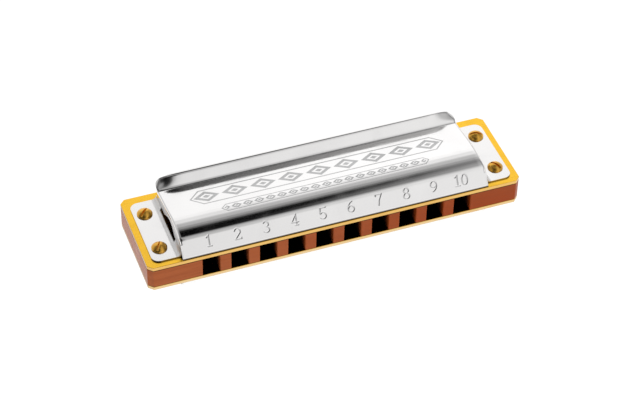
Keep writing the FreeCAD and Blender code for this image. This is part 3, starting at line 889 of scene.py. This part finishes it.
def make_ornament(tree):
    """Share of etching on a cover's crown, 0 on bright steel and 1 on the etched figure.

    A long panel with pointed ends holds a row of lozenges, each a frame round a solid
    heart. In front of it runs a narrow band of small lozenges between two lines.
    """
    x, y, z = split_place(tree)
    along = reckon(tree, "ABSOLUTE", x)

    def panel(middle, half_height, half_length, pitch, line):
        """A pointed panel: its outline, and lozenges of the given pitch inside it."""
        across = reckon(tree, "ABSOLUTE", reckon(tree, "SUBTRACT", y, middle))
        to_side = reckon(tree, "SUBTRACT", half_height, across)
        to_tip = reckon(tree, "SUBTRACT", half_length, reckon(tree, "ADD", along, across))
        inside = reckon(tree, "MINIMUM", to_side, reckon(tree, "MULTIPLY", to_tip, 0.7))

        def between(value, low, high, soft):
            rise = reading_of(tree, value, low, low + soft)
            fall = reading_of(tree, value, high, high - soft)
            return reckon(tree, "MULTIPLY", rise, fall)

        outline = between(inside, 0.0, line, 0.06)
        cell = reckon(tree, "FRACT", reckon(tree, "MULTIPLY_ADD", x, 1 / pitch, 100.5))
        from_heart = reckon(tree, "ABSOLUTE",
                            reckon(tree, "MULTIPLY_ADD", cell, 2.0, -1.0))
        spread = reckon(tree, "MULTIPLY_ADD", across, 1.25 / half_height, from_heart)
        ring = between(spread, 0.48, 0.95, 0.05)
        heart = reading_of(tree, spread, 0.30, 0.25)
        figure = reckon(tree, "MAXIMUM", ring, heart)
        room = reading_of(tree, inside, line + 0.25, line + 0.31)
        return reckon(tree, "MAXIMUM", outline, reckon(tree, "MULTIPLY", figure, room))

    large = panel(2.5, 3.0, 34.5, 7.5, 0.42)
    small = panel(-3.6, 1.35, 28.0, 3.0, 0.3)
    figure = reckon(tree, "MAXIMUM", large, small)
    facing = reckon(tree, "MULTIPLY", z, split_place(tree, "Normal", 1.0)[2])
    return reckon(tree, "MULTIPLY", figure, reading_of(tree, facing, 0.5, 1.5))


def make_cover_steel():
    """Polished stainless sheet with dull etching, dull figures darkened by painted shade in
    their grooves, and rubbed edges.

    The inside is as rough as the rolled sheet, and painted dark grey as shade.
    """
    material, shader = set_up_material("cover_steel")
    tree = material.node_tree
    etched = make_ornament(tree)
    stamp = add_node(tree, "ShaderNodeAttribute", attribute_name="stamped").outputs["Fac"]
    height = split_place(tree)[2]
    facing = reckon(tree, "MULTIPLY", height, split_place(tree, "Normal", 1.0)[2])
    inner = reading_of(tree, facing, 0.0, -0.5)
    frost = noise_of(tree, (4000, 4000, 4000), 2.0)
    smear, scratch = marks_of(tree, 1.0)
    worn = wear_of(tree, 0.00015, 400.0)
    base = blend_of(tree, reckon(tree, "MULTIPLY", smear, 0.2), (0.88, 0.87, 0.865, 1),
                    (0.80, 0.79, 0.79, 1))
    base = blend_of(tree, reckon(tree, "MULTIPLY", worn, 0.35), base, (0.62, 0.61, 0.60, 1))
    base = blend_of(tree, etched, base, (0.60, 0.60, 0.60, 1))
    # Stamped figures: painted shade darkens the colour in their grooves, and their duller finish
    # is in the roughness below.
    base = blend_of(tree, reckon(tree, "MULTIPLY", stamp, 0.4), base, (0.32, 0.32, 0.33, 1))
    above_plate = reckon(tree, "SUBTRACT", reckon(tree, "ABSOLUTE", height), plate_top)
    # Painted shadow: a dark line along the cover's foot, just above the plate.
    foot_shadow = reading_of(tree, above_plate, 0.36, 0.24, 0.0, 0.75)
    base = blend_of(tree, foot_shadow, base, (0.16, 0.14, 0.12, 1))
    # Painted shade: inside the shell the steel is darkened to dark grey.
    base = blend_of(tree, inner, base, (0.17, 0.16, 0.155, 1))
    rough = reading_of(tree, smear, 0.0, 1.0, 0.10, 0.16, smooth=False)
    rough = reckon(tree, "MULTIPLY_ADD", etched, reading_of(tree, frost, 0.3, 0.7, 0.26, 0.36),
                   rough)
    rough = reckon(tree, "MULTIPLY_ADD", stamp, 0.2, rough)
    rough = reckon(tree, "MULTIPLY_ADD", inner, 0.3, rough)
    out = reckon(tree, "ABSOLUTE", split_place(tree)[0])
    bent = reckon(tree, "MULTIPLY", reading_of(tree, out, shell_end - 0.6, shell_end - 0.1),
                  reading_of(tree, out, shell_end + 1.5, shell_end + 1.1))
    bent = reckon(tree, "MULTIPLY", bent, reading_of(tree, above_plate, 2.6, 1.7))
    rough = reckon(tree, "MULTIPLY_ADD", bent, 0.3, rough)
    relief = add_node(tree, "ShaderNodeBump",
                      {"Height": reckon(tree, "MULTIPLY_ADD", etched, -0.5,
                                        reckon(tree, "MULTIPLY", scratch, -0.05)),
                       "Strength": 0.35, "Distance": 0.00002})
    fill_inputs(tree, shader, {"Base Color": base, "Roughness": rough, "Metallic": 1.0,
                               "Normal": relief.outputs["Normal"]})
    return material


def merged_mesh(name, points, faces, material, stamp=None):
    """A mesh from points in mm, its doubles merged and its slivers dropped, shaded smooth."""
    mesh = bpy.data.meshes.new(name)
    mesh.from_pydata((points / 1000).tolist(), [], faces)
    if stamp is not None:
        mesh.attributes.new("stamped", "FLOAT", "POINT").data.foreach_set("value", stamp)
    form = bmesh.new()
    form.from_mesh(mesh)
    bmesh.ops.remove_doubles(form, verts=form.verts, dist=2e-6)
    bmesh.ops.dissolve_degenerate(form, edges=form.edges, dist=1e-6)
    for face in form.faces:
        face.smooth = True
    form.to_mesh(mesh)
    form.free()
    mesh.materials.append(material)
    return mesh


plate_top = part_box("upper_reed_plate")[1].z * 1000
cover_steel = make_cover_steel()
hem_points, hem_faces = make_hem()
for name, hand, groove in (("top_cover", 1, groove_depth), ("bottom_cover", -1, 0.0)):
    skin_points, skin_faces, skin_stamp = make_cover_skin(groove)
    turn_over = np.array([hand, 1, hand])
    place = np.array([0, 0, plate_top])
    sheet = add_piece(name + "_sheet", merged_mesh(
        name + "_sheet", (skin_points + place) * turn_over, skin_faces, cover_steel,
        skin_stamp), name)
    thicken = sheet.modifiers.new("sheet_thickness", "SOLIDIFY")
    thicken.thickness = sheet_thickness / 1000
    thicken.offset = -1
    thicken.use_even_offset = False
    ease_edges(sheet, 0.05, 50)
    add_piece(name + "_hem", merged_mesh(
        name + "_hem", (hem_points + place) * turn_over, hem_faces, cover_steel))


# ---------------------------------------------------------------------------------------
# Screws. Four round-headed brass wood screws hold each cover on its tabs, and five slotted
# screws clamp the plates from below. Handling has browned their domes.
# ---------------------------------------------------------------------------------------

screw_brass = make_brass("screw_brass", (0.88, 0.48, 0.08, 1), (0.36, 0.16, 0.025, 1),
                         (900, 900, 900), 0.26, 0.36)
for name in ("top_cover_screws", "bottom_cover_screws", "reed_plate_screws"):
    smooth_copy(name, screw_brass, 0.05)


# ---------------------------------------------------------------------------------------
# Studio: a white floor and a soft tent of light. A bright bank hangs behind, a dark gap runs
# overhead, and the tent is open round the camera.
# ---------------------------------------------------------------------------------------

floor_reach = 3.0
camera_target = (-0.000221, 0.000417, 0.0)
camera_distance = 0.523699
camera_azimuth, camera_elevation, camera_roll = (math.radians(a)
                                                 for a in (21.012, 43.455, 1.369))

floor_mesh = bpy.data.meshes.new("floor")
floor_mesh.from_pydata([(x * floor_reach, y * floor_reach, cad_box[0].z)
                        for x, y in ((-1, -1), (1, -1), (1, 1), (-1, 1))], [], [(0, 1, 2, 3)])
floor = bpy.data.objects.new("floor", floor_mesh)
bpy.context.scene.collection.objects.link(floor)
paper, shader = set_up_material("floor_paper")
fill_inputs(paper.node_tree, shader, {
    "Base Color": (0.2, 0.2, 0.2, 1), "Roughness": 0.9, "Specular IOR Level": 0.1,
    "Emission Color": (1, 1, 1, 1), "Emission Strength": 1.0})
floor_mesh.materials.append(paper)

ahead = Vector((math.sin(camera_azimuth) * math.cos(camera_elevation),
                math.cos(camera_azimuth) * math.cos(camera_elevation),
                -math.sin(camera_elevation)))
level_right = Vector((math.cos(camera_azimuth), -math.sin(camera_azimuth), 0))
level_up = level_right.cross(ahead)
right = math.cos(camera_roll) * level_right + math.sin(camera_roll) * level_up
up = math.cos(camera_roll) * level_up - math.sin(camera_roll) * level_right
stand = Vector(camera_target) - camera_distance * ahead
camera_data = bpy.data.cameras.new("camera")
camera_data.sensor_width = 36.0
camera_data.lens = 114.63
camera_data.clip_start = 0.01
camera = bpy.data.objects.new("camera", camera_data)
bpy.context.scene.collection.objects.link(camera)
bpy.context.scene.camera = camera
camera.matrix_world = Matrix(((right.x, up.x, -ahead.x, stand.x),
                              (right.y, up.y, -ahead.y, stand.y),
                              (right.z, up.z, -ahead.z, stand.z),
                              (0, 0, 0, 1)))
bpy.context.scene.view_settings.view_transform = "Standard"


def level_along(tree, value, stops, span):
    """A level that runs through stops of (value, level), with span the value's range."""
    share = reading_of(tree, value, span[0], span[1], smooth=False)
    ramp = add_node(tree, "ShaderNodeValToRGB", {"Fac": share})
    elements = ramp.color_ramp.elements
    for i, (mark, level) in enumerate(stops):
        place = (mark - span[0]) / (span[1] - span[0])
        element = elements[i] if i < 2 else elements.new(place)
        element.position = place
        element.color = (level, level, level, 1)
    return ramp.outputs["Color"]


def make_tent():
    """The studio's light by direction.

    The arch runs from the rear horizon, 0 degrees, over the top to the front one, 180. The
    gap overhead narrows and pales to the right, and pales to the left of the instrument.
    """
    world = bpy.data.worlds.new("studio_tent")
    world.use_nodes = True
    tree = world.node_tree
    tree.nodes.clear()
    way = add_node(tree, "ShaderNodeTexCoord").outputs["Generated"]
    split = add_node(tree, "ShaderNodeSeparateXYZ", {"Vector": way})
    x = split.outputs["X"]
    arch = reckon(tree, "DEGREES", reckon(tree, "ARCTAN2", split.outputs["Z"],
                                          split.outputs["Y"]))
    bank = level_along(tree, arch, [(-180, 0.8), (-1, 0.8), (8, 1.0), (42, 1.0), (48, 0.84),
                                    (52, 0.66), (56.5, 0.34), (62, 0.07), (66, 0.0),
                                    (180, 0.0)], (-180, 180))
    slant = reading_of(tree, x, 0.20, 0.33, 0.0, 26.0, smooth=False)
    front = level_along(tree, reckon(tree, "ADD", arch, slant),
                        [(0, 0.0), (83, 0.0), (92, 0.12), (104, 0.33), (116, 0.46),
                         (130, 0.68), (150, 0.79), (180, 0.79)], (0, 200))
    front = reckon(tree, "MULTIPLY", front, reading_of(tree, x, -0.25, -0.5, 1.0, 0.2))
    gap = reading_of(tree, reckon(tree, "ABSOLUTE", reckon(tree, "SUBTRACT", arch, 78.0)),
                     12.0, 28.0, 1.0, 0.0)
    left = reading_of(tree, x, 0.14, -0.25, 0.0, 0.22)
    right_end = reading_of(tree, x, 0.31, 0.36, 0.0, 0.16)
    glow = reckon(tree, "MULTIPLY", gap, reckon(tree, "ADD", left, right_end))
    tent = reckon(tree, "ADD", reckon(tree, "ADD", bank, front), glow)
    toward = add_node(tree, "ShaderNodeVectorMath",
                      {0: way, 1: tuple(-ahead)}, operation="DOT_PRODUCT")
    off_axis = reckon(tree, "DEGREES", reckon(tree, "ARCCOSINE", toward.outputs["Value"]))
    opening = level_along(tree, off_axis, [(0, 0.02), (12, 0.03), (19, 0.14), (25, 0.58),
                                           (30, 0.86), (37, 1.0)], (0, 180))
    sides = reckon(tree, "MULTIPLY", reading_of(tree, x, -0.15, -0.55, 1.0, 0.6),
                   reading_of(tree, x, 0.42, 0.62, 1.0, 0.6))
    sides = reckon(tree, "MULTIPLY", sides, reading_of(tree, x, 0.18, 0.30, 0.92, 1.0))
    level = reckon(tree, "MULTIPLY", tent, reckon(tree, "MULTIPLY", opening, sides))
    backing = add_node(tree, "ShaderNodeBackground",
                       {"Color": (1, 1, 1, 1), "Strength": reckon(tree, "MULTIPLY", level,
                                                                  1.16)})
    add_node(tree, "ShaderNodeOutputWorld", {"Surface": backing.outputs["Background"]})
    return world


bpy.context.scene.world = make_tent()

bpy.context.view_layer.update()
